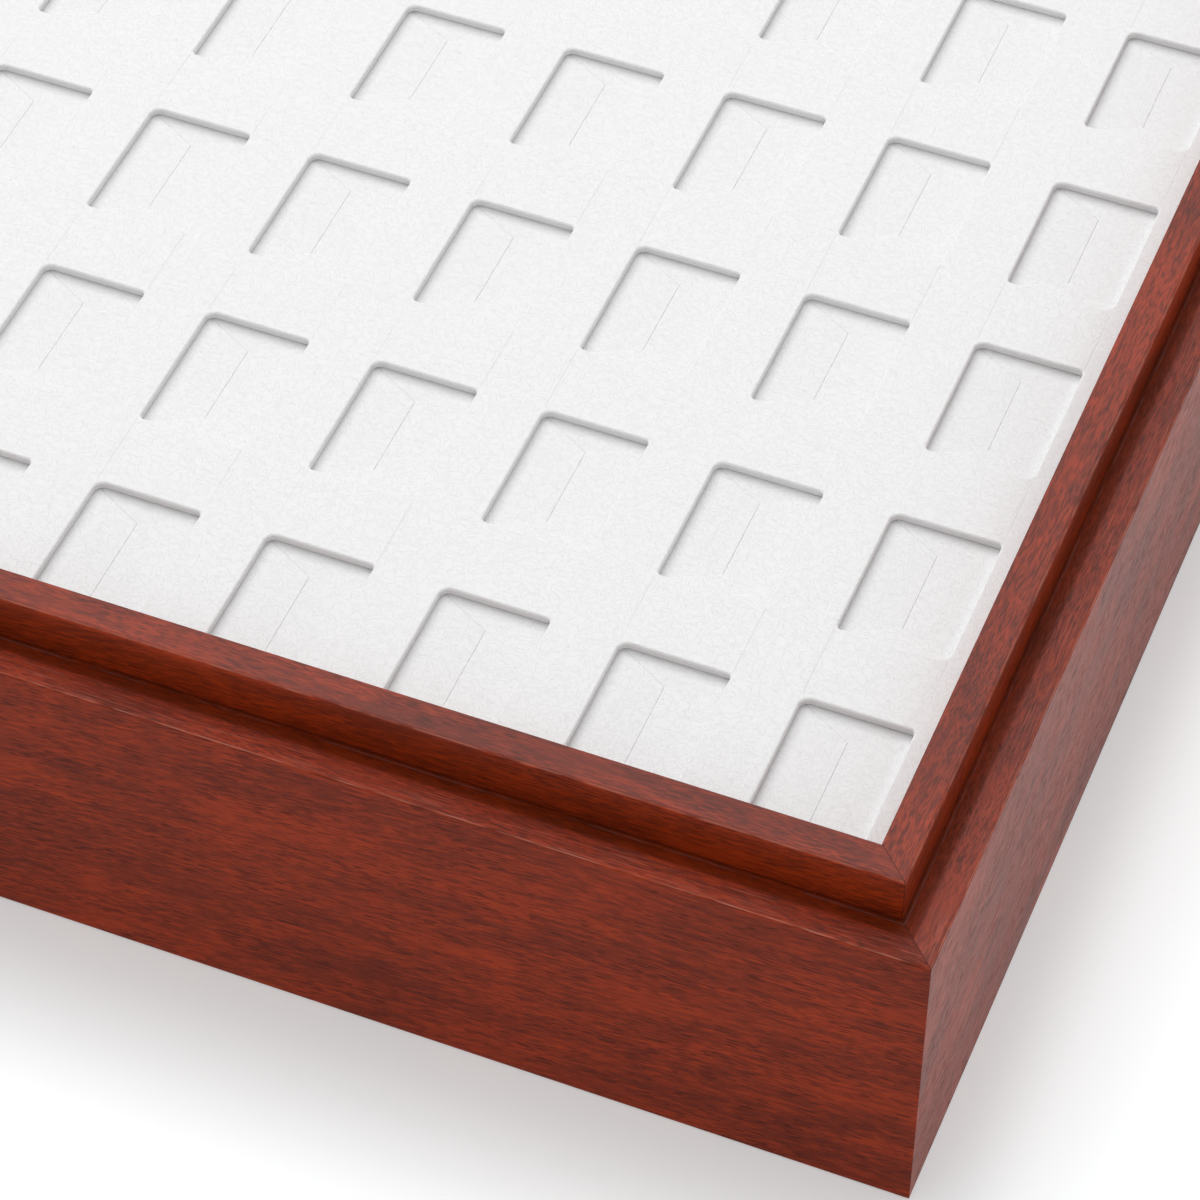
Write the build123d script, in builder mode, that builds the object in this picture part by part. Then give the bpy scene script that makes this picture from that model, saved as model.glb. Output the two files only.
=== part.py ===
"""A stackable hardwood ring display tray with a removable white pad of die-cut ring pockets.

The four rails are mitred and joined by hidden splines. Each has a raised lip above an outer ledge,
and a rabbet under it that seats over the lip of the tray below. A plywood panel sits in a groove.
The pad drops in from above: a skin and a die-cut board form the pockets, a slit sheet under them
carries two long flaps for each pocket, and a grid of foam strips leaves a channel for the ring
shanks under each column.

Millimetres. X runs along the front rail, Y away from the front, Z up from the table.
"""

import math
import os

from build123d import *

# Pocket grid, seen from above
columns = 10
rows = 6
column_pitch = 25.5
row_pitch = 35.4
pocket_width = 15.6
pocket_length = 22.5
pocket_corner_radius = 1.1
pocket_corner_flats = 3
side_margin = 3.85
end_margin = 2.6

# Flaps cut in the slit sheet of each pocket
slit_length = 14.1
cut_width = 0.25

# Pad layers, from the top down
pad_recess = 7.45
pad_clearance = 0.4
skin_thickness = 0.35
board_thickness = 0.85
sheet_thickness = 0.8
backing_thickness = 2.0
wrap_thickness = 0.6
skin_edge_radius = 0.25
cross_strip_height = 6.0

# Rails
ledge_height = 50.0
lip_height = 7.5
lip_thickness = 4.9
ledge_width = 5.9
ledge_edge_radius = 0.4
lip_outer_radius = 0.5
lip_inner_radius = 0.4
foot_edge_radius = 0.5

# Rabbet under the rails, which seats over the lip of the tray below
stack_side_clearance = 0.4
stack_top_clearance = 0.5

# Bottom panel in its groove
panel_bottom = 20.0
panel_thickness = 4.0
panel_edge_clearance = 0.3
groove_depth = 4.0
groove_play = 0.1

# Splines hidden in the mitres
spline_width = 6.0
spline_thickness = 1.5
spline_height = 34.0
spline_bottom = 10.0
spline_inset = 5.5
spline_clearance = 0.05

# Sizes that follow from the ones above
inside_width = 2 * side_margin + (columns - 1) * column_pitch + pocket_width
inside_depth = 2 * end_margin + (rows - 1) * row_pitch + pocket_length
rail_thickness = ledge_width + lip_thickness
outside_width = inside_width + 2 * rail_thickness
outside_depth = inside_depth + 2 * rail_thickness
lip_top = ledge_height + lip_height
foot_width = ledge_width - stack_side_clearance
stack_rabbet_height = lip_height + stack_top_clearance
panel_top = panel_bottom + panel_thickness

pad_width = inside_width - 2 * pad_clearance
pad_depth = inside_depth - 2 * pad_clearance
core_width = pad_width - 2 * wrap_thickness
core_depth = pad_depth - 2 * wrap_thickness
skin_bottom = lip_top - pad_recess - skin_thickness
board_bottom = skin_bottom - board_thickness
sheet_bottom = board_bottom - sheet_thickness
foam_bottom = panel_top + backing_thickness
foam_height = sheet_bottom - foam_bottom
outer_strip_width = side_margin - pad_clearance - wrap_thickness
inner_strip_width = column_pitch - pocket_width
cross_strip_depth = row_pitch - pocket_length
end_strip_depth = end_margin - pad_clearance - wrap_thickness
strip_length = core_depth - 2 * end_strip_depth

gusset_height = (pocket_length - slit_length) / 2
gusset_angle = math.atan2(gusset_height, pocket_width / 2)
cut_rise = cut_width / 2 / math.cos(gusset_angle)

column_x = [(i - (columns - 1) / 2) * column_pitch for i in range(columns)]
row_y = [(j - (rows - 1) / 2) * row_pitch for j in range(rows)]
pocket_centres = [(x, y) for x in column_x for y in row_y]

# The cutting die turns each pocket corner in a few short flats, counter-clockwise from the right
flat_turn = math.pi / 2 / pocket_corner_flats
pocket_outline = []
for corner_number, (side_x, side_y) in enumerate([(1, 1), (-1, 1), (-1, -1), (1, -1)]):
    for step in range(pocket_corner_flats + 1):
        turn = corner_number * math.pi / 2 + step * flat_turn
        from_centre_x = side_x * (pocket_width / 2 - pocket_corner_radius)
        from_centre_y = side_y * (pocket_length / 2 - pocket_corner_radius)
        point_x = from_centre_x + pocket_corner_radius * math.cos(turn)
        point_y = from_centre_y + pocket_corner_radius * math.sin(turn)
        pocket_outline.append((point_x, point_y))

# A rail's section: the first number runs inwards from the outer face, the second runs up
groove_bottom = rail_thickness - groove_depth
rail_outline = [
    (0, 0),
    (foot_width, 0),
    (foot_width, stack_rabbet_height),
    (rail_thickness, stack_rabbet_height),
    (rail_thickness, panel_bottom),
    (groove_bottom, panel_bottom),
    (groove_bottom, panel_top + groove_play),
    (rail_thickness, panel_top + groove_play),
    (rail_thickness, lip_top),
    (ledge_width, lip_top),
    (ledge_width, ledge_height),
    (0, ledge_height),
]

# Each rail starts at a corner and runs to the next one, counter-clockwise from above
rail_runs = {
    "front_rail": ((-1, -1), (0, 1, 0), (1, 0, 0), outside_width),
    "right_rail": ((1, -1), (-1, 0, 0), (0, 1, 0), outside_depth),
    "back_rail": ((1, 1), (0, -1, 0), (-1, 0, 0), outside_width),
    "left_rail": ((-1, 1), (1, 0, 0), (0, -1, 0), outside_depth),
}
corners = {
    "front_left": (-1, -1),
    "front_right": (1, -1),
    "back_right": (1, 1),
    "back_left": (-1, 1),
}

os.makedirs("parts", exist_ok=True)


def save(builder, name):
    """Label a finished piece and write it under its name."""
    builder.part.label = name
    export_step(builder.part, f"parts/{name}.step")


def corner_point(corner, height=0.0):
    """The outer corner of the frame on one side of X and Y, at a height."""
    return Vector(corner[0] * outside_width / 2, corner[1] * outside_depth / 2, height)


def spline_plane(corner, height):
    """A level plane on the mitre of a corner, with X square to the mitre face."""
    inward = Vector(-corner[0], -corner[1], 0).normalized()
    across = Vector(-inward.Y, inward.X, 0)
    return Plane(corner_point(corner, height) + inward * spline_inset, across, (0, 0, 1))


def corner_at(sketch, across, up):
    """The vertex of the current section at one point."""
    return [v for v in sketch.vertices() if abs(v.X - across) < 1e-6 and abs(v.Y - up) < 1e-6]


for name, (corner, inward, run, length) in rail_runs.items():
    start = corner_point(corner)
    end = start + Vector(run) * length
    with BuildPart() as rail:
        with BuildSketch(Plane(start, inward, run)) as section:
            with BuildLine():
                Polyline(*rail_outline, close=True)
            make_face()
            fillet(corner_at(section.sketch_local, 0, ledge_height), ledge_edge_radius)
            fillet(corner_at(section.sketch_local, ledge_width, lip_top), lip_outer_radius)
            fillet(corner_at(section.sketch_local, rail_thickness, lip_top), lip_inner_radius)
            fillet(corner_at(section.sketch_local, 0, 0), foot_edge_radius)
        extrude(amount=length)
        split(bisect_by=Plane(start, z_dir=Vector(run) - Vector(inward)), keep=Keep.TOP)
        split(bisect_by=Plane(end, z_dir=-Vector(run) - Vector(inward)), keep=Keep.TOP)
        for spline_corner in corners.values():
            with BuildSketch(spline_plane(spline_corner, spline_bottom - spline_clearance)):
                Rectangle(
                    spline_width + 2 * spline_clearance,
                    spline_thickness + 2 * spline_clearance,
                )
            extrude(amount=spline_height + 2 * spline_clearance, mode=Mode.SUBTRACT)
    save(rail, name)

for corner_name, corner in corners.items():
    with BuildPart() as spline:
        with BuildSketch(spline_plane(corner, spline_bottom)):
            Rectangle(spline_width, spline_thickness)
        extrude(amount=spline_height)
    save(spline, f"spline_{corner_name}")

with BuildPart() as bottom_panel:
    with BuildSketch(Plane.XY.offset(panel_bottom)):
        panel_growth = 2 * (groove_depth - panel_edge_clearance)
        Rectangle(inside_width + panel_growth, inside_depth + panel_growth)
    extrude(amount=panel_thickness)
save(bottom_panel, "bottom_panel")

with BuildPart() as backing_board:
    with BuildSketch(Plane.XY.offset(panel_top)):
        Rectangle(core_width, core_depth)
    extrude(amount=backing_thickness)
save(backing_board, "backing_board")

with BuildPart() as side_wrap:
    with BuildSketch(Plane.XY.offset(panel_top)):
        Rectangle(pad_width, pad_depth)
        Rectangle(core_width, core_depth, mode=Mode.SUBTRACT)
    extrude(amount=skin_bottom - panel_top)
save(side_wrap, "side_wrap")

# The long strips are notched from above, and the cross strips lie in the notches, flush with their tops
with BuildPart() as long_strips:
    with BuildSketch(Plane.XY.offset(foam_bottom)):
        with GridLocations(column_pitch, 0, columns - 1, 1):
            Rectangle(inner_strip_width, strip_length)
        with GridLocations(core_width - outer_strip_width, 0, 2, 1):
            Rectangle(outer_strip_width, strip_length)
    extrude(amount=foam_height)
    with BuildSketch(Plane.XY.offset(sheet_bottom)):
        with GridLocations(0, row_pitch, 1, rows - 1):
            Rectangle(core_width, cross_strip_depth)
    extrude(amount=-cross_strip_height, mode=Mode.SUBTRACT)
save(long_strips, "long_strips")

with BuildPart() as cross_strips:
    with BuildSketch(Plane.XY.offset(sheet_bottom)):
        with GridLocations(0, row_pitch, 1, rows - 1):
            Rectangle(core_width, cross_strip_depth)
    extrude(amount=-cross_strip_height)
save(cross_strips, "cross_strips")

with BuildPart() as end_strips:
    with BuildSketch(Plane.XY.offset(foam_bottom)):
        with GridLocations(0, core_depth - end_strip_depth, 1, 2):
            Rectangle(core_width, end_strip_depth)
    extrude(amount=foam_height)
save(end_strips, "end_strips")

with BuildPart() as slit_sheet:
    with BuildSketch(Plane.XY.offset(sheet_bottom)):
        Rectangle(core_width, core_depth)
        with Locations(*pocket_centres):
            half_width = pocket_width / 2
            corner_y = pocket_length / 2 + cut_rise
            slit_end_y = slit_length / 2 + cut_rise
            Polygon(
                (-half_width, -corner_y),
                (0, -slit_end_y),
                (half_width, -corner_y),
                (half_width, corner_y),
                (0, slit_end_y),
                (-half_width, corner_y),
                mode=Mode.SUBTRACT,
            )
    extrude(amount=sheet_thickness)
save(slit_sheet, "slit_sheet")

with BuildPart() as pocket_board:
    with BuildSketch(Plane.XY.offset(board_bottom)):
        Rectangle(core_width, core_depth)
        with Locations(*pocket_centres):
            Polygon(*pocket_outline, mode=Mode.SUBTRACT)
    extrude(amount=board_thickness)
save(pocket_board, "pocket_board")

with BuildPart() as top_skin:
    with BuildSketch(Plane.XY.offset(skin_bottom)):
        Rectangle(pad_width, pad_depth)
        with Locations(*pocket_centres):
            Polygon(*pocket_outline, mode=Mode.SUBTRACT)
    extrude(amount=skin_thickness)
    rim = top_skin.faces().sort_by(Axis.Z)[-1].outer_wire().edges()
    fillet(rim, skin_edge_radius)
save(top_skin, "top_skin")

# Each column has a row of left flaps and a row of right flaps, each hinged on the foam strip beside it
for number, x in enumerate(column_x, start=1):
    for side, sign in (("left", -1), ("right", 1)):
        with BuildPart() as flaps:
            with BuildSketch(Plane.XY.offset(sheet_bottom)):
                with Locations(*[(x, y) for y in row_y]):
                    root_x = sign * pocket_width / 2
                    tip_x = sign * cut_width / 2
                    root_y = pocket_length / 2 - cut_rise
                    drop = gusset_height * (pocket_width - cut_width) / pocket_width
                    tip_y = root_y - drop
                    Polygon(
                        (root_x, -root_y),
                        (tip_x, -tip_y),
                        (tip_x, tip_y),
                        (root_x, root_y),
                        align=None,
                    )
            extrude(amount=sheet_thickness)
        save(flaps, f"flaps_{side}_{number}")

print("outside", round(outside_width, 2), round(outside_depth, 2), round(lip_top, 2))
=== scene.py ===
"""Dresses the ring tray: lacquered wood rails, a white leatherette pad with soft pocket rims, slit
flaps and their boards, on a pale floor in soft light, seen from in front and above.
"""

import math

import bmesh
import bpy
from bpy.props import FloatProperty, FloatVectorProperty, IntProperty, PointerProperty
from mathutils import Matrix, Vector


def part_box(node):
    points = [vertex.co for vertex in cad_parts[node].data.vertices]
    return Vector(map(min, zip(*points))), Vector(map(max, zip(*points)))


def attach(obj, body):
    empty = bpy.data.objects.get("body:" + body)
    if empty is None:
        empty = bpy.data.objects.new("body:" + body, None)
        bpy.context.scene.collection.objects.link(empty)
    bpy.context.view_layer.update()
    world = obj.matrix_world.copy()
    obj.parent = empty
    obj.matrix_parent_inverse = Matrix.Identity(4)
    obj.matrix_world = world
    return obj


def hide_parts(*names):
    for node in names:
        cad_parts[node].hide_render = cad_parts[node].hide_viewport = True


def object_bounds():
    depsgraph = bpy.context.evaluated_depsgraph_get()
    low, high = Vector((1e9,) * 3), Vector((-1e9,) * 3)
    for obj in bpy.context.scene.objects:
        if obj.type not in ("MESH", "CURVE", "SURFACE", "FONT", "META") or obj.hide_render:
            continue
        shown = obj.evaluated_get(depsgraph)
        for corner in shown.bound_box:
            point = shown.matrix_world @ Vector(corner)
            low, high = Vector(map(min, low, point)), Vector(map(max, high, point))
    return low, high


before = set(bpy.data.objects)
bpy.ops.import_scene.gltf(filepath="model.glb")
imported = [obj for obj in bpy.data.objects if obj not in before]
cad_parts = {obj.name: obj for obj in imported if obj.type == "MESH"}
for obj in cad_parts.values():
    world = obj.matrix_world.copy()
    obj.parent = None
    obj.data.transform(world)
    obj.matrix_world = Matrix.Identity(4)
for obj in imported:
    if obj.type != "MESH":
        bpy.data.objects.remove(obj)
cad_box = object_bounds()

bl_info = {
    "name": "Ring Tray",
    "version": (1, 0, 0),
    "blender": (4, 5, 0),
    "location": "View3D > Sidebar > Ring Tray",
    "description": "Finishes a stackable wooden ring tray and its leatherette pad",
    "category": "Object",
}

MM = 0.001

RAILS = ["front_rail", "right_rail", "back_rail", "left_rail"]
SPLINES = ["spline_front_left", "spline_front_right", "spline_back_left", "spline_back_right"]
STRIPS = ["long_strips", "cross_strips", "end_strips"]
LEFT_FLAPS = [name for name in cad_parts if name.startswith("flaps_left_")]

# The rails' section
LEDGE_LEVEL = 50.0 * MM
LEDGE_WIDTH = 5.9 * MM
RAIL_THICKNESS = 10.8 * MM
LIP_LEVEL = cad_box[1][2]

# The pocket grid, whose columns are where the flaps' boxes are
ROWS = 6
ROW_PITCH = 35.4 * MM
COLUMN_PITCH = 25.5 * MM
POCKET_LENGTH = 22.5 * MM
SLIT_LENGTH = 14.1 * MM
HALF_POCKET = (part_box("flaps_right_1")[1][0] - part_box("flaps_left_1")[0][0]) / 2

# One pocket in its cell of the grid, measured from the cell's near left corner
CELL_MIDDLE = COLUMN_PITCH / 2
POCKET_LEFT = CELL_MIDDLE - HALF_POCKET
POCKET_RIGHT = CELL_MIDDLE + HALF_POCKET
POCKET_NEAR = (ROW_PITCH - POCKET_LENGTH) / 2
POCKET_FAR = ROW_PITCH - POCKET_NEAR
CUT_RISE = (POCKET_LENGTH - SLIT_LENGTH) / 2

# The pad's sheets: corner and rim radii, and the segments of a rolled rim and of an outer corner
SKIN_CORNER = 1.2 * MM
BOARD_CORNER = 1.0 * MM
SHEET_CORNER = 0.5 * MM
LEAST_CORNER = 0.1 * MM
SHARP_CORNER = 0.01 * MM
BOARD_RIM = 0.05 * MM
RIM_STEPS = 4
SIDE_CORNER_STEPS = 5
TOUCHING = 1e-7
SHARP_ANGLE = math.radians(38)

# How strongly each mark shows on the rails; the sheen, the shade and the highlights among them are
# painted light
PORES = 0.54
FRONT_SHEEN = 0.04
SIDE_SHEEN = 0.12
LIP_TOP_SHEEN = 0.12
SANDING_AND_SHEEN = 0.42
LEDGE_SHADE = 0.55
LIP_SIDE_SHADE = 0.24
WEAR_AND_HIGHLIGHT = 0.65
LIP_WEAR_AND_HIGHLIGHT = 0.7
SCRATCH = 0.55
FOOT_LINE = 0.6
MITRE_LINE = 0.7

# How strongly each painted highlight and painted shade shows in a pocket
WALL_HIGHLIGHT = 0.10
NEAR_CUT_HIGHLIGHT = 0.08
FAR_CUT_SHADE = 0.07
LEFT_SHADE = 0.16
FAR_SHADE = 0.26
FLOOR_SHADE = 0.012

# The grain's turn on a rail, and how far apart in the pattern the rails' planks are
GRAIN_TURN = {"X": (0, 0, 0), "Y": (0, 0, -math.pi / 2)}
PLANK_STEP = 0.83
PLANK_ASIDE = 0.37

# The parts that hardly show
SPLINE_WOOD = {"light": (0.42, 0.2, 0.12), "dark": (0.30, 0.13, 0.07)}
PANEL_WOOD = {"light": (0.46, 0.25, 0.13), "dark": (0.30, 0.14, 0.065)}
PLIES = 3

# The stage, in metres
FLOOR_HALF = 6.0
LAMP_AIM = (0.0, 0.0, 0.03)
KEY_LAMP = {"place": (-0.45, 0.56, 1.25), "size": 1.5}
FILL_LAMP = {"place": (0.9, -1.1, 1.0), "size": 1.2}

# The camera, which stands off from the inner corner of the lip at the front right
CAMERA_OFFSET = Vector((99.95, -349.5, 449.3)) * MM
CAMERA_RIGHT = Vector((0.9287, 0.3707, 0.0099))
CAMERA_BACK = Vector((0.2423, -0.6268, 0.7406))
CAMERA_SHIFT = (-0.0190, -0.0264)
CAMERA_SENSOR = 36
CAMERA_NEAR = 0.01


def colour(name, description, default):
    """A colour that a user can change."""
    return FloatVectorProperty(
        name=name, description=description, default=default, size=3, subtype="COLOR", min=0, max=1
    )


def length(name, description, default):
    """A length in metres that a user can change."""
    return FloatProperty(name=name, description=description, default=default, min=0, unit="LENGTH")


def share(name, description, default, most=1.0):
    """A plain number that a user can change."""
    return FloatProperty(name=name, description=description, default=default, min=0, max=most)


class WoodFinish(bpy.types.PropertyGroup):
    """The rails' red-brown wood and its lacquer."""

    light: colour("Light wood", "Colour of the palest bands", (0.380, 0.0385, 0.0068))
    dark: colour("Dark wood", "Colour of the darkest bands", (0.165, 0.0168, 0.0038))
    pore: colour("Pores", "Colour in the open pores", (0.036, 0.0060, 0.0040))
    # Wear and painted highlight along the ledge's and the lip's outer edges
    wear_and_highlight: colour("Worn edges", "Colour along the rubbed edges", (0.55, 0.21, 0.15))
    # Painted sheen: a pale grey laid over the outer ledge and the lip's top, standing in for the
    # lacquer's reflection of the room
    painted_sheen: colour("Haze", "Colour that dulls the ledge and the lip's top", (0.26, 0.27, 0.27))
    # Sanding streaks, pale and kept to the outer ledge, partly painted sheen
    sanding_and_sheen: colour("Sanding", "Colour of the sanding streaks on the ledge", (0.44, 0.13, 0.09))
    # Painted shade: darkens the inner ledge beside the lip and the lip's outer face
    lip_shade: colour("Stain", "Colour of the stain that gathered round the lip", (0.075, 0.0125, 0.002))
    scratch: colour("Scratch", "Colour of the fine line beside the lip", (0.15, 0.10, 0.105))
    pore_length: length("Pore length", "Length of a pore along the grain", 2.3 * MM)
    pore_width: length("Pore width", "Distance between pores across the grain", 0.21 * MM)
    slope: share("Grain slope", "Rise of the grain along the rail", 0.09)
    gloss: share("Lacquer roughness", "Roughness of the lacquer", 0.27)


class PadFinish(bpy.types.PropertyGroup):
    """The white leatherette, the boards and the foam of the pad."""

    skin: colour("Skin", "Colour of the leatherette", (0.86, 0.86, 0.862))
    ply: colour("Ply edges", "Colour of the boards' cut edges", (0.62, 0.61, 0.615))
    foam: colour("Foam", "Colour of the foam strips", (0.74, 0.73, 0.70))
    rim: length("Pocket rim", "Radius of the skin's turn into a pocket", 0.32 * MM)
    side_rim: length("Pad rim", "Radius of the skin's turn over the pad's edge", 0.5 * MM)
    crease: length("Cut edge", "Softening along each cut in the slit sheet", 0.08 * MM)
    kerf: length("Cut gap", "Gap that the knife left between two flaps", 0.02 * MM)
    corner: length("Pocket corner", "Radius of a pocket's far left and near right corners", 1.25 * MM)
    tight_corner: length("Tight corner", "Radius of a pocket's other two corners", 0.4 * MM)
    sag: length("Sag", "How far the sheet sags where its cuts meet", 0.22 * MM)
    lift: length("Lift", "How far a pocket's near gusset stands over its flaps", 0.03 * MM)
    corner_steps: IntProperty(
        name="Corner steps", description="Segments in a pocket's corner", default=7, min=2, max=12
    )


class StageLight(bpy.types.PropertyGroup):
    """The floor, the lamps and the camera."""

    floor: colour("Floor", "Colour of the floor", (0.885, 0.935, 0.94))
    glow: share("Floor glow", "What the camera sees of the floor beyond the lamps' light", 0.213)
    # Painted light: the floor brightens away from the tray, which shortens the tray's shadow
    far_painted_glow: share("Far glow", "More of the same, beyond the two reaches", 0.142)
    side_reach: length("Side reach", "How far beside the tray the far glow is full", 15.0 * MM)
    front_reach: length("Front reach", "How far in front of the tray the far glow is full", 31.0 * MM)
    key: share("Key lamp", "Power of the large lamp behind the tray, in watts", 15.3, 500)
    fill: share("Fill lamp", "Power of the lamp in front, in watts", 3.1, 500)
    sky: share("Sky", "Strength of the light from all round", 0.52, 5)
    lens: FloatProperty(
        name="Lens", description="Focal length of the camera", default=138.53, min=1, unit="CAMERA"
    )


class Value:
    """One output of a node, so that shader maths reads as an expression."""

    def __init__(self, nodes, socket):
        self.nodes = nodes
        self.socket = socket

    def math(self, operation, *others, clamp=False):
        """A Math node on this value and others."""
        return self.nodes.math(operation, self, *others, clamp=clamp)

    def __add__(self, other):
        return self.math("ADD", other)

    __radd__ = __add__

    def __mul__(self, other):
        return self.math("MULTIPLY", other)

    __rmul__ = __mul__

    def __sub__(self, other):
        return self.math("SUBTRACT", other)

    def __rsub__(self, other):
        return self.nodes.math("SUBTRACT", other, self)

    def __truediv__(self, other):
        return self.math("DIVIDE", other)

    def __rtruediv__(self, other):
        return self.nodes.math("DIVIDE", other, self)

    def output(self, name):
        """Another output of the same node."""
        return Value(self.nodes, self.socket.node.outputs[name])

    def near(self, level, inner, outer):
        """1 within inner of a level, 0 beyond outer and smooth between them."""
        return 1 - (self - level).math("ABSOLUTE").between(inner, outer)

    def between(self, low, high):
        """0 below low, 1 above high and smooth between them."""
        settings = {"interpolation_type": "SMOOTHSTEP"}
        inputs = {"Value": self, "From Min": low, "From Max": high}
        return self.nodes.add("ShaderNodeMapRange", settings, inputs)


class Nodes:
    """A node tree that is filled one node at a time."""

    def __init__(self, tree):
        self.tree = tree

    def add(self, kind, settings=None, sockets=None, output=0):
        """Add a node, set it, then fill its sockets with numbers or links; gives one output."""
        node = self.tree.nodes.new(kind)
        for name, value in (settings or {}).items():
            setattr(node, name, value)
        for name, value in (sockets or {}).items():
            self.fill(node.inputs[name], value)
        return Value(self, node.outputs[output])

    def fill(self, socket, value):
        """Link a value to a socket, or set the socket."""
        if isinstance(value, Value):
            self.tree.links.new(value.socket, socket)
        elif socket.type == "RGBA":
            socket.default_value = (*value, 1.0)
        else:
            socket.default_value = value

    def math(self, operation, *values, clamp=False):
        """A Math node on numbers or values."""
        settings = {"operation": operation, "use_clamp": clamp}
        return self.add("ShaderNodeMath", settings, dict(enumerate(values)))

    def seen(self):
        """1 where a ray comes from the camera, a gloss or a clear surface, and 0 for other light."""
        camera = self.add("ShaderNodeLightPath", output="Is Camera Ray")
        shown = camera + camera.output("Is Glossy Ray")
        return shown.math("ADD", camera.output("Is Transmission Ray"), clamp=True)


class Finish(Nodes):
    """A material on Object coordinates."""

    def __init__(self, name):
        self.material = bpy.data.materials.new(name)
        self.material.use_nodes = True
        super().__init__(self.material.node_tree)
        self.shader = self.tree.nodes["Principled BSDF"]
        self.place = self.add("ShaderNodeTexCoord", output="Object")

    def set(self, **sockets):
        """Fill sockets of the shader; an underscore stands for a space."""
        for name, value in sockets.items():
            self.fill(self.shader.inputs[name.replace("_", " ")], value)
        return self

    def parts(self, vector):
        """The X, Y and Z of a vector."""
        x = self.add("ShaderNodeSeparateXYZ", {}, {"Vector": vector}, "X")
        return x, x.output("Y"), x.output("Z")

    def grey(self, level):
        """A grey colour from one value."""
        return self.add("ShaderNodeCombineColor", {}, {0: level, 1: level, 2: level})

    def mapped(self, place, location=(0, 0, 0), turn=(0, 0, 0), scale=(1, 1, 1)):
        """Move, turn and scale a pattern's coordinates."""
        sockets = {"Vector": place, "Location": location, "Rotation": turn, "Scale": scale}
        return self.add("ShaderNodeMapping", {}, sockets)

    def noise(self, place, scale, detail=2.0, roughness=0.5, distortion=0.0):
        """Smooth noise, about 0.5 in the middle."""
        sockets = {"Vector": place, "Scale": scale, "Detail": detail, "Roughness": roughness}
        return self.add("ShaderNodeTexNoise", {}, {**sockets, "Distortion": distortion})

    def streaks(self, place, scale, *shape, location=(0, 0, 0), turn=(0, 0, 0)):
        """Noise with its own scale along X, Y and Z, in cells to the metre, then shaped as noise is."""
        return self.noise(self.mapped(place, location, turn, scale), 1.0, *shape)

    def mixed(self, amount, first, second, blend="MIX"):
        """A colour between two, by amount; the Mix node's sockets 6 and 7 are its colours."""
        settings = {"data_type": "RGBA", "blend_type": blend}
        return self.add("ShaderNodeMix", settings, {0: amount, 6: first, 7: second}, 2)

    def bumped(self, height, distance, strength=1.0):
        """A normal from a height, in metres times distance."""
        sockets = {"Height": height, "Distance": distance, "Strength": strength}
        return self.add("ShaderNodeBump", {}, sockets, "Normal")


def dress(obj, finish):
    """Put one finish on all of an object."""
    obj.data.materials.clear()
    obj.data.materials.append(finish.material)


def settings():
    """The scene's own sizes and colours."""
    scene = bpy.context.scene
    return scene.tray_wood, scene.tray_pad, scene.tray_stage


class RailSpot:
    """Where a point lies on a rail, with soft masks of the ledge and the lip's top."""

    def __init__(self, finish, along):
        x, y, self.height = finish.parts(finish.place)
        self.along = along
        self.from_x = cad_box[1][0] - x.math("ABSOLUTE")
        self.from_y = cad_box[1][1] - y.math("ABSOLUTE")
        self.inset = self.from_y if along == "X" else self.from_x
        self.ledge = self.height.near(LEDGE_LEVEL, 0.05 * MM, 0.25 * MM)
        self.lip_top = self.height.near(LIP_LEVEL, 0.05 * MM, 0.25 * MM)


def grain_places(finish, along, seed):
    """Coordinates along a rail, moved to a plank of its own, and the same bent to its grain."""
    slope = settings()[0].slope
    place = finish.mapped(finish.place, location=(seed, seed * PLANK_ASIDE, 0), turn=GRAIN_TURN[along])
    run, across, up = finish.parts(place)
    swell = finish.streaks(place, (9, 22, 22), 2.0, 0.45)
    rise = run * slope + (swell - 0.5) * 0.010
    bent = {"X": run, "Y": across + rise * 0.25, "Z": up - rise}
    return place, finish.add("ShaderNodeCombineXYZ", {}, bent)


def open_pores(finish, grain):
    """Dark dashes along the grain in two lengths, the longer ones in patches."""
    wood = settings()[0]
    scale = (1 / wood.pore_length, 1 / wood.pore_width, 1 / wood.pore_width)
    dash = finish.streaks(grain, scale, 0.0)
    short = finish.streaks(grain, [1.5 * n for n in scale], 0.0, location=(0.3, 0.1, 0.2))
    patch = finish.streaks(grain, (60, 260, 260), 1.0, 0.5)
    pores = dash.between(0.55, 0.62) * patch.between(0.2, 0.6) + short.between(0.57, 0.65) * 0.45
    return pores.math("MINIMUM", 1.0)


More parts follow.
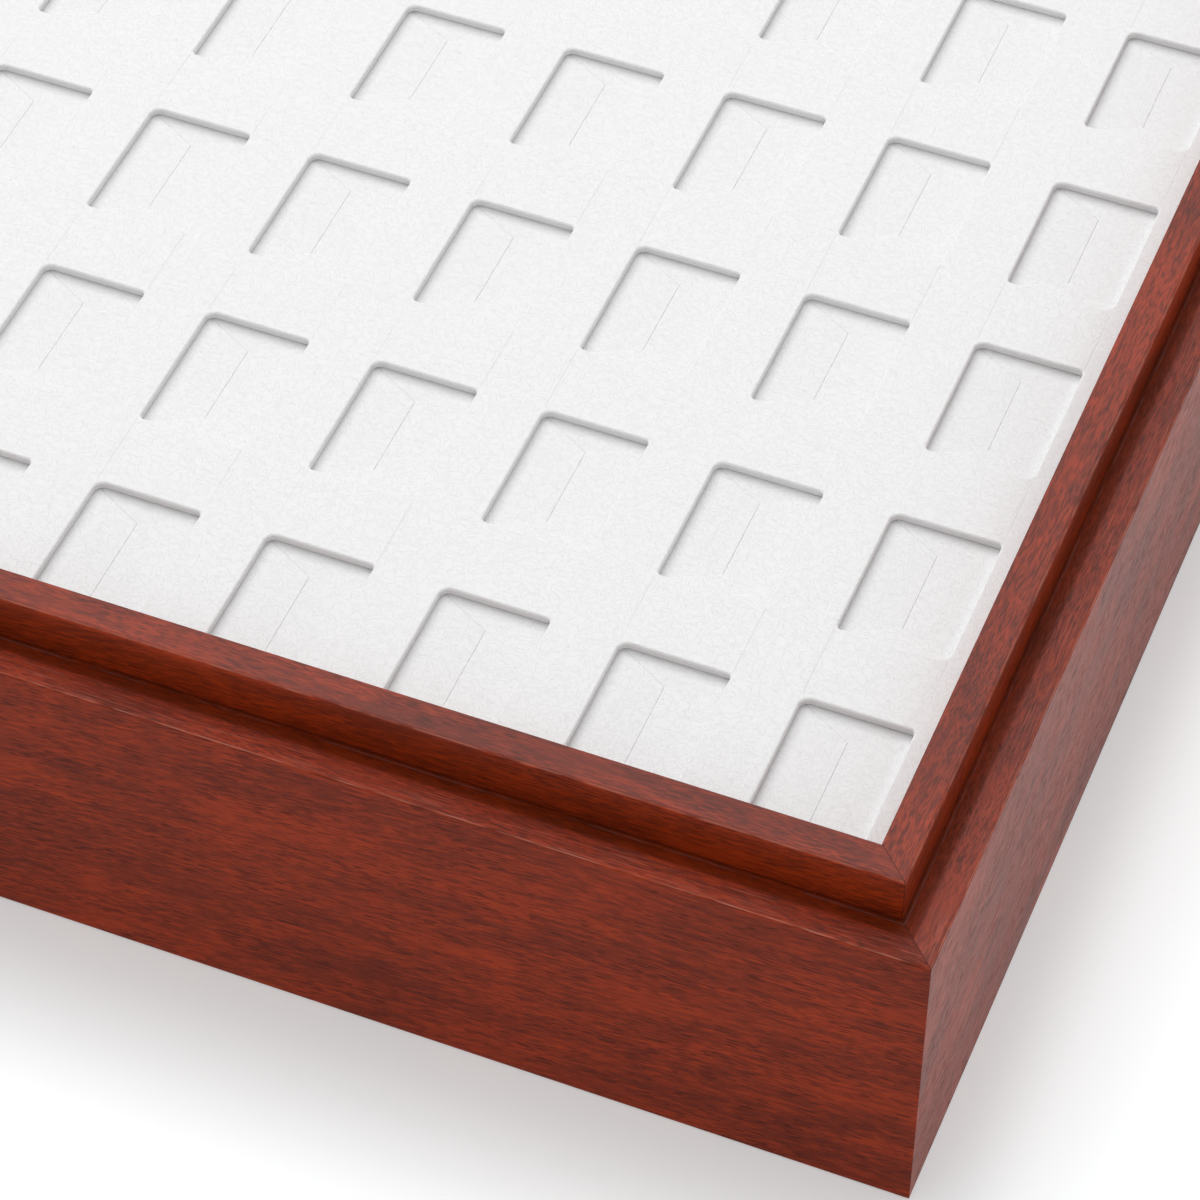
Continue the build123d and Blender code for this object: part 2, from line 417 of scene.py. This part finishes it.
def sheen_and_shade_on_faces(finish, spot, place, body):
    """Painted sheen on the outer ledge and the lip's top, pale sanding streaks on the outer ledge that
    are partly painted sheen, and painted shade on the inner ledge and the lip's outer face.
    """
    wood = settings()[0]
    # Painted sheen: the outer ledge, more on the side rails than the front, and the lip's top are greyed
    # lighter
    outer = spot.ledge * (1 - spot.inset.between(3.2 * MM, 4.2 * MM))
    sheen_mask = outer * (FRONT_SHEEN if spot.along == "X" else SIDE_SHEEN) + spot.lip_top * LIP_TOP_SHEEN
    body = finish.mixed(sheen_mask, body, wood.painted_sheen)

    # Pale sanding streaks on the outer ledge only: partly the wood's own marks, partly painted sheen
    # where the light reaches
    sanding_and_sheen = finish.streaks(place, (110, 5200, 5200), 1.0, 0.6).between(0.55, 0.68)
    sanding_and_sheen = sanding_and_sheen * spot.ledge * (1 - spot.inset.between(2.2 * MM, 4.2 * MM))
    body = finish.mixed(sanding_and_sheen * SANDING_AND_SHEEN, body, wood.sanding_and_sheen)

    # Painted shade: the inner ledge beside the lip and the lip's outer face are darkened, standing in for
    # the lip's shadow and its dark reflection
    ledge_shade_mask = spot.ledge * spot.inset.between(LEDGE_WIDTH - 2.7 * MM, LEDGE_WIDTH - 2.0 * MM)
    body = finish.mixed(ledge_shade_mask * LEDGE_SHADE, body, wood.lip_shade)
    side = spot.inset.near(LEDGE_WIDTH, 0.1 * MM, 0.3 * MM)
    side = side * spot.height.between(LEDGE_LEVEL, LEDGE_LEVEL + 0.5 * MM)
    side = side * (1 - spot.height.between(LIP_LEVEL - 1.0 * MM, LIP_LEVEL - 0.4 * MM))
    return finish.mixed(side * LIP_SIDE_SHADE, body, wood.lip_shade)


def worn_and_highlit_edges(finish, spot, place, body):
    """Pale patches along the ledge's and the lip's outer edges, partly wear and partly painted highlight,
    and a fine line beside the lip.
    """
    wood = settings()[0]
    rub = finish.streaks(place, (160, 700, 700), 2.0, 0.6)
    ledge_edge = spot.inset.near(0.05 * MM, 0.06 * MM, 0.2 * MM)
    ledge_edge = ledge_edge * spot.height.near(LEDGE_LEVEL - 0.05 * MM, 0.06 * MM, 0.2 * MM)
    lip_edge = spot.inset.near(LEDGE_WIDTH, 0.15 * MM, 0.32 * MM)
    lip_edge = lip_edge * spot.height.near(LIP_LEVEL, 0.15 * MM, 0.32 * MM)
    # Pale outer edges: partly wear, partly painted highlight
    wear_and_highlight = (ledge_edge + lip_edge * LIP_WEAR_AND_HIGHLIGHT) * rub.between(0.36, 0.60)
    body = finish.mixed(wear_and_highlight * WEAR_AND_HIGHLIGHT, body, wood.wear_and_highlight)
    line = spot.inset.near(LEDGE_WIDTH - 0.5 * MM, 0.03 * MM, 0.10 * MM) * spot.ledge
    return finish.mixed(line * rub.between(0.35, 0.6) * SCRATCH, body, wood.scratch)


def dark_joints(finish, spot, body):
    """The dark lines along the lip's foot and down the mitres."""
    foot = spot.inset.near(LEDGE_WIDTH, 0.02 * MM, 0.16 * MM)
    foot = foot * spot.height.near(LEDGE_LEVEL, 0.04 * MM, 0.3 * MM)
    mitre = (spot.from_x - spot.from_y).near(0.0, 0.03 * MM, 0.13 * MM)
    mitre = mitre * spot.height.between(LEDGE_LEVEL - 0.5 * MM, LEDGE_LEVEL - 0.1 * MM)
    lines = (foot * FOOT_LINE).math("MAXIMUM", mitre * MITRE_LINE)
    return finish.mixed(lines, body, settings()[0].pore)


def rail_wood(name, along, seed):
    """Lacquered wood whose grain runs along X or Y, with wear and painted highlights on its edges,
    painted sheen and shade on its faces, and dark mitre lines.
    """
    wood = settings()[0]
    finish = Finish(name)
    place, grain = grain_places(finish, along, seed)
    band = finish.streaks(grain, (22, 170, 170), 3.0, 0.55, 0.3)
    cloud = finish.streaks(grain, (45, 110, 110), 2.0, 0.5, 0.5)
    fleck = finish.streaks(grain, (240, 1500, 1500), 2.0, 0.6)
    fibre = finish.streaks(grain, (260, 4200, 4200), 2.0, 0.6)
    tone = band * 0.32 + cloud * 0.24 + fleck * 0.34 + fibre * 0.26
    body = finish.mixed(tone.between(0.46, 0.72), wood.dark, wood.light)
    pores = open_pores(finish, grain)
    body = finish.mixed(pores * PORES, body, wood.pore)

    spot = RailSpot(finish, along)
    body = sheen_and_shade_on_faces(finish, spot, place, body)
    body = worn_and_highlit_edges(finish, spot, place, body)
    return finish.set(
        Base_Color=dark_joints(finish, spot, body),
        Roughness=wood.gloss + fibre * 0.08 + pores * 0.14,
        Specular_IOR_Level=0.08,
        Normal=finish.bumped(fibre * 0.3 - pores, 0.02 * MM, 0.5),
    )


def plain_wood(name, light, dark):
    """Thin plywood or an offcut, with a plain straight grain along X."""
    finish = Finish(name)
    band = finish.streaks(finish.place, (9, 60, 60), 3.0, 0.55, 0.8)
    fibre = finish.streaks(finish.place, (120, 2200, 2200), 3.0, 0.6)
    body = finish.mixed((band * 0.6 + fibre * 0.4).between(0.35, 0.68), dark, light)
    return finish.set(
        Base_Color=body,
        Roughness=0.5 + fibre * 0.15,
        Specular_IOR_Level=0.35,
        Normal=finish.bumped(fibre, 0.05 * MM, 0.4),
    )


class TRAY_OT_wood(bpy.types.Operator):
    """Give the rails, their splines and the bottom panel their wood"""

    bl_idname = "tray.wood"
    bl_label = "Wood rails"

    def execute(self, context):
        for number, name in enumerate(RAILS):
            along = "X" if name in ("front_rail", "back_rail") else "Y"
            dress(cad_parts[name], rail_wood(f"wood_{name}", along, PLANK_STEP * number))
        spline = plain_wood("wood_spline", **SPLINE_WOOD)
        for name in SPLINES:
            dress(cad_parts[name], spline)
        dress(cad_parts["bottom_panel"], plain_wood("wood_panel", **PANEL_WOOD))
        return {"FINISHED"}


class PocketSpot:
    """Where a point lies in its cell of the pocket grid, from the near left corner of the cell."""

    def __init__(self, finish):
        x, y, self.height = finish.parts(finish.place)
        column = (x / COLUMN_PITCH).math("FRACT")
        row = (y / ROW_PITCH).math("FRACT")
        self.x = column * COLUMN_PITCH
        self.y = row * ROW_PITCH
        self.from_side = column.math("PINGPONG", 0.5) * COLUMN_PITCH
        self.from_end = row.math("PINGPONG", 0.5) * ROW_PITCH
        self.rise = (self.x - CELL_MIDDLE).math("ABSOLUTE") * CUT_RISE / HALF_POCKET


def column_seams(spot):
    """A pressed line beside the pockets of each column, between one pocket and the next."""
    seam = spot.from_side.near(POCKET_LEFT - 0.1 * MM, 0.02 * MM, 0.12 * MM)
    return seam * (1 - spot.from_end.between(POCKET_NEAR - 0.5 * MM, POCKET_NEAR - 0.35 * MM))


def painted_wall_highlights(spot, level):
    """Painted highlight on a pocket's right and near walls, just below a level."""
    depth = level - spot.height
    edges = depth.between(0.005 * MM, 0.15 * MM) * (1 - depth.between(0.45 * MM, 0.5 * MM))
    right = spot.x.between(POCKET_RIGHT - 0.03 * MM, POCKET_RIGHT)
    near = 1 - spot.y.between(POCKET_NEAR, POCKET_NEAR + 0.03 * MM)
    return edges * right.math("MAXIMUM", near)


def painted_pocket_floor(spot):
    """Painted highlight along the near cuts, painted shade in the far left cut, and painted shade along a
    pocket's left and far walls and, faintly, over all its floor.
    """
    near_cut_highlight = (spot.y - POCKET_NEAR - CUT_RISE + spot.rise).near(0.0, 0.03 * MM, 0.16 * MM)
    far_cut_shade = (spot.y - POCKET_FAR + CUT_RISE - spot.rise).near(0.0, 0.02 * MM, 0.09 * MM)
    far_cut_shade = far_cut_shade * (1 - spot.x.between(CELL_MIDDLE - 0.05 * MM, CELL_MIDDLE + 0.05 * MM))
    shaded = (1 - spot.x.between(POCKET_LEFT, POCKET_LEFT + 1.9 * MM)) * LEFT_SHADE
    far_shaded = spot.y.between(POCKET_FAR - 2.2 * MM, POCKET_FAR) * FAR_SHADE
    shaded = shaded.math("MAXIMUM", far_shaded)
    return near_cut_highlight * NEAR_CUT_HIGHLIGHT - far_cut_shade * FAR_CUT_SHADE - shaded - FLOOR_SHADE


def leatherette(name, tint, ridges=1.0, level=0.0, inside=0.0):
    """Matte white leatherette with curled fibres and pressed lines.

    ridges scales the pressed line beside each column, level is the pad's top, under which two walls of
    each pocket get a painted highlight, and inside scales the painted shade and highlights on a pocket's
    floor.
    """
    finish = Finish(name)
    place = finish.place
    grain = finish.streaks(place, (1000, 900, 1000), 4.0, 0.65, 0.6)
    curls = finish.streaks(place, (900, 1000, 900), 1.0, 0.5, 0.9, turn=(0, 0, 0.5))
    curls = curls.near(0.5, 0.0, 0.03)
    streak = finish.streaks(place, (700, 14, 14), 0.0)
    reach = finish.streaks(place, (75, 36, 36), 1.0, 0.5)
    lines = streak.near(0.66, 0.0, 0.02) * reach.between(0.50, 0.58)
    cloud = finish.streaks(place, (30, 22, 22), 2.0, 0.5)

    spot = PocketSpot(finish)
    seam = column_seams(spot) * reach.between(0.36, 0.55) * ridges
    # The seam term is painted shade that darkens each pressed line beside the columns
    shade = 0.985 + cloud * 0.02 + (grain - 0.5) * 0.045 + lines * 0.02 - seam * 0.03
    # Painted highlight on two walls of each pocket, and painted shade and highlights on its floor
    shade = shade + painted_wall_highlights(spot, level) * WALL_HIGHLIGHT + painted_pocket_floor(spot) * inside
    height = grain * 0.6 + curls * 0.4 + lines * 0.25 - seam * 0.6 + cloud * 3.0
    return finish.set(
        Base_Color=finish.mixed(1.0, tint, finish.grey(shade), "MULTIPLY"),
        Roughness=0.62 + grain * 0.1,
        Specular_IOR_Level=0.3,
        Normal=finish.bumped(height, 0.08 * MM, 0.8),
    )


def ply_edge(name, tint, skin, bottom, top):
    """A board whose cut edge shows its plies as fine level lines, with painted shade darkening the lowest
    fifth of the edge.
    """
    finish = Finish(name)
    height = finish.parts(finish.place)[2]
    level = (height - bottom) / (top - bottom)
    plies = (level * PLIES).math("FRACT").math("PINGPONG", 0.5)
    fuzz = finish.streaks(finish.place, (700, 700, 2600), 3.0, 0.6)
    face = finish.mixed(plies.between(0.03, 0.16), tint, skin)
    # Painted shade: the foot of the edge is darker, where a pocket's wall meets its floor
    face = finish.mixed(level.between(0.0, 0.2), [n * 0.72 for n in tint], face)
    return finish.set(
        Base_Color=finish.mixed(fuzz * 0.25, face, tint),
        Roughness=0.8,
        Specular_IOR_Level=0.2,
        Normal=finish.bumped(fuzz, 0.04 * MM, 0.5),
    )


def foam_finish(name, tint):
    """Stiff closed-cell foam with small open cells at its cut faces."""
    finish = Finish(name)
    sockets = {"Vector": finish.place, "Scale": 1600.0, "Randomness": 1.0}
    cells = finish.add("ShaderNodeTexVoronoi", {}, sockets, "Distance")
    cloud = finish.noise(finish.place, 60.0, 2.0)
    return finish.set(
        Base_Color=finish.mixed(cells.between(0.1, 0.7), [n * 0.82 for n in tint], tint),
        Roughness=0.85 + cloud * 0.1,
        Specular_IOR_Level=0.2,
        Normal=finish.bumped(cells, 0.12 * MM, 0.6),
    )


def pocket_columns():
    """The X of each column of pockets, from its flaps' boxes."""
    pairs = [(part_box(left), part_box(left.replace("left", "right"))) for left in LEFT_FLAPS]
    return sorted((left[0][0] + right[1][0]) / 2 for left, right in pairs)


def pocket_rows():
    """The Y of each row of pockets."""
    return [(row - (ROWS - 1) / 2) * ROW_PITCH for row in range(ROWS)]


def pocket_places():
    """The middle of every pocket, as a vector."""
    return [Vector((x, y, 0)) for x in pocket_columns() for y in pocket_rows()]


def new_verts(made):
    """The vertices in what an operator made."""
    return [g for g in made if isinstance(g, bmesh.types.BMVert)]


def rounded_rectangle(bm, half_x, half_y, radius, steps, z, tight=None):
    """Add a level rectangle with rounded corners, two of them tighter if asked; gives its edges."""
    grid = bmesh.ops.create_grid(bm, x_segments=1, y_segments=1, size=1.0)
    corners = grid["verts"]
    bmesh.ops.scale(bm, vec=(half_x, half_y, 1), verts=corners)
    bmesh.ops.translate(bm, vec=(0, 0, z), verts=corners)
    faces = list({f for v in corners for f in v.link_faces})
    bmesh.ops.delete(bm, geom=faces, context="FACES_ONLY")
    tighter = [v for v in corners if v.co.x * v.co.y > 0]
    wider = [v for v in corners if v not in tighter]
    for ends, offset in ((wider, radius), (tighter, tight or radius)):
        bmesh.ops.bevel(
            bm, geom=ends, offset=offset, segments=steps, profile=0.5, affect="VERTICES", material=-1
        )
    verts = [v for v in bm.verts if v.is_valid and abs(v.co.z - z) < TOUCHING]
    return [e for e in bm.edges if all(v in verts for v in e.verts)]


def step_inwards(bm, edges, inward, down, half_x, half_y):
    """Extrude a loop inwards (or outwards, if negative) and down; gives the new loop's edges."""
    made = bmesh.ops.extrude_edge_only(bm, edges=edges)["geom"]
    verts = new_verts(made)
    scale = ((half_x - inward) / half_x, (half_y - inward) / half_y, 1)
    bmesh.ops.scale(bm, vec=scale, verts=verts)
    bmesh.ops.translate(bm, vec=(0, 0, -down), verts=verts)
    ring = [g for g in made if isinstance(g, bmesh.types.BMEdge)]
    return [e for e in ring if all(v in verts for v in e.verts)]


def roll_over(bm, edges, half_x, half_y, rim, steps, side):
    """Roll a loop down a quarter round, inwards (side 1) or outwards (-1); gives edges and half sizes."""
    for step in range(steps):
        here = math.pi / 2 * step / steps
        there = math.pi / 2 * (step + 1) / steps
        inward = side * rim * (math.sin(there) - math.sin(here))
        down = rim * (math.cos(here) - math.cos(there))
        edges = step_inwards(bm, edges, inward, down, half_x, half_y)
        half_x -= inward
        half_y -= inward
    return edges, half_x, half_y


def pocket_wall(bm, top, bottom, rim, rim_steps=RIM_STEPS):
    """One pocket's wall in its own place at the origin, with a rolled rim at the top."""
    pad = settings()[1]
    size = HALF_POCKET + rim, POCKET_LENGTH / 2 + rim
    corner, tight_corner = pad.corner + rim, pad.tight_corner + rim
    edges = rounded_rectangle(bm, *size, corner, pad.corner_steps, top, tight_corner)
    edges, *size = roll_over(bm, edges, *size, rim, rim_steps, 1)
    step_inwards(bm, edges, 0, top - rim - bottom, *size)


def plate_side(half_x, half_y, radius, top, bottom, rim=0, skirt=0, wall=0):
    """Gives a function that draws a plate's outer side.

    rim rolls its upper edge over, and skirt is the level of a thin wall's hem, if it has one.
    """

    def draw(bm):
        size = half_x - rim, half_y - rim
        corner = max(radius - rim, LEAST_CORNER)
        edges = rounded_rectangle(bm, *size, corner, SIDE_CORNER_STEPS, top)
        edges, *size = roll_over(bm, edges, *size, rim, RIM_STEPS if rim > 0 else 0, -1)
        edges = step_inwards(bm, edges, 0, top - rim - (skirt or bottom), *size)
        if skirt:
            edges = step_inwards(bm, edges, wall, 0, *size)
            step_inwards(bm, edges, 0, skirt - bottom, *[half - wall for half in size])

    return draw


def holed_plate(name, outline, wall, top, bottom):
    """A level plate with a pocket at every place: wall draws one pocket and outline the plate's side."""
    bm = bmesh.new()
    wall(bm)
    source = list(bm.verts) + list(bm.edges) + list(bm.faces)
    places = pocket_places()
    for place in places[1:]:
        copy = bmesh.ops.duplicate(bm, geom=source)["geom"]
        bmesh.ops.translate(bm, vec=place, verts=new_verts(copy))
    bmesh.ops.translate(bm, vec=places[0], verts=new_verts(source))
    side = bmesh.new()
    outline(side)
    merge_into(bm, side)
    for level in (top, bottom):
        open_edges = [e for e in bm.edges if len(e.link_faces) < 2]
        rim = [e for e in open_edges if all(abs(v.co.z - level) < TOUCHING for v in e.verts)]
        bmesh.ops.triangle_fill(bm, use_beauty=True, use_dissolve=False, edges=rim)
    return finish_mesh(bm, name)


def merge_into(bm, other):
    """Add another bmesh's shape to this one."""
    mesh = bpy.data.meshes.new("scrap")
    other.to_mesh(mesh)
    other.free()
    bm.from_mesh(mesh)
    bpy.data.meshes.remove(mesh)


def finish_mesh(bm, name, smooth=True):
    """Close a bmesh into a new object with outward faces."""
    bmesh.ops.remove_doubles(bm, verts=bm.verts, dist=TOUCHING)
    bmesh.ops.recalc_face_normals(bm, faces=bm.faces)
    mesh = bpy.data.meshes.new(name)
    bm.to_mesh(mesh)
    bm.free()
    obj = bpy.data.objects.new(name, mesh)
    bpy.context.scene.collection.objects.link(obj)
    if smooth:
        mesh.shade_smooth()
        mesh.set_sharp_from_angle(angle=SHARP_ANGLE)
        weighted = obj.modifiers.new("flat_faces_stay_flat", "WEIGHTED_NORMAL")
        weighted.keep_sharp = True
    return obj


class TRAY_OT_skin(bpy.types.Operator):
    """Wrap the pad in leatherette, with a soft rim round every pocket"""

    bl_idname = "tray.skin"
    bl_label = "Leatherette skin"

    def execute(self, context):
        pad = context.scene.tray_pad
        low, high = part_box("top_skin")
        bottom, top = low[2], high[2]
        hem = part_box("side_wrap")[0][2]
        band = high[0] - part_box("pocket_board")[1][0]

        def wall(bm):
            pocket_wall(bm, top, bottom, pad.rim)

        outline = plate_side(*high[:2], SKIN_CORNER, top, bottom, pad.side_rim, skirt=hem, wall=band)
        skin = holed_plate("pad_skin", outline, wall, top, bottom)
        dress(skin, leatherette("white_leatherette", pad.skin, level=top))
        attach(skin, "ring_pad")
        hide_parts("top_skin", "side_wrap")
        return {"FINISHED"}


class TRAY_OT_board(bpy.types.Operator):
    """Put the die-cut board under the skin"""

    bl_idname = "tray.board"
    bl_label = "Pocket board"

    def execute(self, context):
        pad = context.scene.tray_pad
        low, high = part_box("pocket_board")
        bottom, top = low[2], high[2]

        def wall(bm):
            pocket_wall(bm, top, bottom, BOARD_RIM, 1)

        outline = plate_side(*high[:2], BOARD_CORNER, top, bottom)
        board = holed_plate("die_cut_board", outline, wall, top, bottom)
        dress(board, ply_edge("board_plies", pad.ply, pad.skin, bottom, top))
        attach(board, "ring_pad")
        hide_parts("pocket_board")

        low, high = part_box("backing_board")
        backing = ply_edge("backing_plies", pad.ply, pad.ply, low[2], high[2])
        dress(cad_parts["backing_board"], backing)
        foam = foam_finish("white_foam", pad.foam)
        for name in STRIPS:
            dress(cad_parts[name], foam)
        return {"FINISHED"}


def cut_leaf(bm, points, place, opened):
    """One leaf between cuts; each cut named in opened, by its first point, has a softened edge."""
    low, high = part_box("slit_sheet")
    verts = [bm.verts.new(Vector(point) + place + Vector((0, 0, high[2]))) for point in points]
    face = bm.faces.new(verts)
    rims = [bm.edges.get((verts[n], verts[(n + 1) % len(verts)])) for n in opened]
    made = bmesh.ops.extrude_face_region(bm, geom=[face], use_keep_orig=True)["geom"]
    bmesh.ops.translate(bm, vec=(0, 0, low[2] - high[2]), verts=new_verts(made))
    crease = settings()[1].crease
    bmesh.ops.bevel(
        bm, geom=rims, offset=crease, segments=2, profile=0.5, affect="EDGES", material=-1
    )


def sheet_web():
    """The slit sheet between the pockets, open under each."""
    low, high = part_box("slit_sheet")
    bottom, top = low[2], high[2]

    def opening(bm):
        size = HALF_POCKET, POCKET_LENGTH / 2
        edges = rounded_rectangle(bm, *size, SHARP_CORNER, 1, top)
        step_inwards(bm, edges, 0, top - bottom, *size)

    outline = plate_side(*high[:2], SHEET_CORNER, top, bottom)
    return holed_plate("slit_web", outline, opening, top, bottom)


def pocket_gussets():
    """The near and far gusset of every pocket, with the near one's two cuts opened."""
    pad = settings()[1]
    bm = bmesh.new()
    for place in pocket_places():
        for end in (-1, 1):
            points = [
                (-HALF_POCKET, end * POCKET_LENGTH / 2, 0),
                (HALF_POCKET, end * POCKET_LENGTH / 2, 0),
                (0, end * SLIT_LENGTH / 2, -pad.sag),
            ]
            lift = Vector((0, 0, pad.lift if end < 0 else 0))
            cut_leaf(bm, points, place + lift, (1, 2) if end < 0 else (2,))
    return finish_mesh(bm, "gussets", smooth=False)


def column_flaps(name, x, side):
    """The flaps of one column, hinged at the pockets' left (side -1) or right (1)."""
    pad = settings()[1]
    gap = pad.kerf / 2
    end = POCKET_LENGTH / 2
    fall = (end - SLIT_LENGTH / 2) * (HALF_POCKET - gap) / HALF_POCKET
    root, tip = side * HALF_POCKET, side * gap
    points = [
        (root, -end, 0),
        (tip, fall - end, -pad.sag),
        (tip, end - fall, -pad.sag),
        (root, end, 0),
    ]
    bm = bmesh.new()
    for y in pocket_rows():
        cut_leaf(bm, points, Vector((x, y, 0)), (1,))
    return finish_mesh(bm, name, smooth=False)


class TRAY_OT_slits(bpy.types.Operator):
    """Make the slit sheet's web and gussets, and the two rows of flaps of every column"""

    bl_idname = "tray.slits"
    bl_label = "Slit sheet and flaps"

    def execute(self, context):
        pad = context.scene.tray_pad
        finish = leatherette("flap_leatherette", pad.skin, 0.5, inside=1.0)

        web = sheet_web()
        dress(web, finish)
        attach(web, "ring_pad")
        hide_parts("slit_sheet")

        gussets = pocket_gussets()
        dress(gussets, finish)
        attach(gussets, "ring_pad")
        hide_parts("slit_sheet")

        for side, sign in (("left", -1), ("right", 1)):
            for number, x in enumerate(pocket_columns(), start=1):
                name = f"flaps_{side}_{number}"
                flap = column_flaps(f"soft_{name}", x, sign)
                dress(flap, finish)
                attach(flap, name)
                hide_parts(name)
        return {"FINISHED"}


def pale_floor(stage):
    """Matte floor that glows to the camera, more so away from the tray; that rise is painted light, which
    makes the tray's shadow fade sooner.
    """
    finish = Finish("pale_floor")
    x, y, _ = finish.parts(finish.place)
    beyond_x = (x.math("ABSOLUTE") - cad_box[1][0]).math("MAXIMUM", 0.0) / stage.side_reach
    beyond_y = (y.math("ABSOLUTE") - cad_box[1][1]).math("MAXIMUM", 0.0) / stage.front_reach
    distance = (beyond_x * beyond_x + beyond_y * beyond_y).math("SQRT")
    # Painted light: more glow away from the tray, so its shadow fades sooner
    glow = stage.glow + distance.between(0.1, 1.0) * stage.far_painted_glow
    return finish.set(
        Base_Color=stage.floor,
        Roughness=0.9,
        Specular_IOR_Level=0.1,
        Emission_Color=finish.grey(glow),
        Emission_Strength=finish.seen(),
    )


def area_lamp(name, power, place, size):
    """A soft square lamp at a place, turned to the tray."""
    lamp = bpy.data.lights.new(name, "AREA")
    lamp.shape = "SQUARE"
    lamp.size = size
    lamp.energy = power
    obj = bpy.data.objects.new(name, lamp)
    obj.location = place
    obj.rotation_euler = (Vector(LAMP_AIM) - Vector(place)).to_track_quat("-Z", "Y").to_euler()
    bpy.context.scene.collection.objects.link(obj)


def soft_room(sky):
    """A world that lights the tray a little from all round and looks white."""
    world = bpy.data.worlds.new("soft_room")
    world.use_nodes = True
    room = Nodes(world.node_tree)
    background = world.node_tree.nodes["Background"]
    room.fill(background.inputs["Color"], (1, 1, 1))
    room.fill(background.inputs["Strength"], room.seen() * (1 - sky) + sky)
    return world


def view_camera(lens):
    """The camera at the photograph's viewing angle."""
    camera = bpy.data.cameras.new("camera")
    camera.lens = lens
    camera.sensor_width = CAMERA_SENSOR
    camera.shift_x, camera.shift_y = CAMERA_SHIFT
    camera.clip_start = CAMERA_NEAR
    obj = bpy.data.objects.new("camera", camera)
    back = CAMERA_BACK.normalized()
    up = back.cross(CAMERA_RIGHT).normalized()
    right = up.cross(back)
    turn = Matrix((right, up, back)).transposed().to_4x4()
    low, high = cad_box
    lip_corner = Vector((high[0] - RAIL_THICKNESS, low[1] + RAIL_THICKNESS, high[2]))
    obj.matrix_world = Matrix.Translation(lip_corner + CAMERA_OFFSET) @ turn
    return obj


class TRAY_OT_stage(bpy.types.Operator):
    """Set the pale floor, the lamps and the camera"""

    bl_idname = "tray.stage"
    bl_label = "Stage"

    def execute(self, context):
        stage = context.scene.tray_stage
        bm = bmesh.new()
        bmesh.ops.create_grid(bm, x_segments=1, y_segments=1, size=FLOOR_HALF)
        floor = finish_mesh(bm, "floor", smooth=False)
        dress(floor, pale_floor(stage))

        area_lamp("key_lamp", stage.key, **KEY_LAMP)
        area_lamp("fill_lamp", stage.fill, **FILL_LAMP)
        context.scene.world = soft_room(stage.sky)
        camera = view_camera(stage.lens)
        context.scene.collection.objects.link(camera)
        context.scene.camera = camera
        context.scene.view_settings.view_transform = "Standard"
        return {"FINISHED"}


class TRAY_PT_panel(bpy.types.Panel):
    """The tray's steps, in the order in which they run"""

    bl_idname = "TRAY_PT_panel"
    bl_label = "Ring Tray"
    bl_space_type = "VIEW_3D"
    bl_region_type = "UI"
    bl_category = "Ring Tray"

    def draw(self, context):
        column = self.layout.column()
        for step in OPERATORS:
            column.operator(step.bl_idname)
        for group in settings():
            for name in group.__annotations__:
                column.prop(group, name)


GROUPS = {"tray_wood": WoodFinish, "tray_pad": PadFinish, "tray_stage": StageLight}
OPERATORS = [TRAY_OT_wood, TRAY_OT_skin, TRAY_OT_board, TRAY_OT_slits, TRAY_OT_stage]


def register():
    for name, group in GROUPS.items():
        bpy.utils.register_class(group)
        setattr(bpy.types.Scene, name, PointerProperty(type=group))
    for cls in [*OPERATORS, TRAY_PT_panel]:
        bpy.utils.register_class(cls)


def unregister():
    for cls in [TRAY_PT_panel, *reversed(OPERATORS)]:
        bpy.utils.unregister_class(cls)
    for name, group in GROUPS.items():
        delattr(bpy.types.Scene, name)
        bpy.utils.unregister_class(group)


def main():
    """Run every step in order."""
    register()
    for step in OPERATORS:
        getattr(bpy.ops.tray, step.bl_idname.split(".")[1])()


if __name__ == "__main__":
    main()
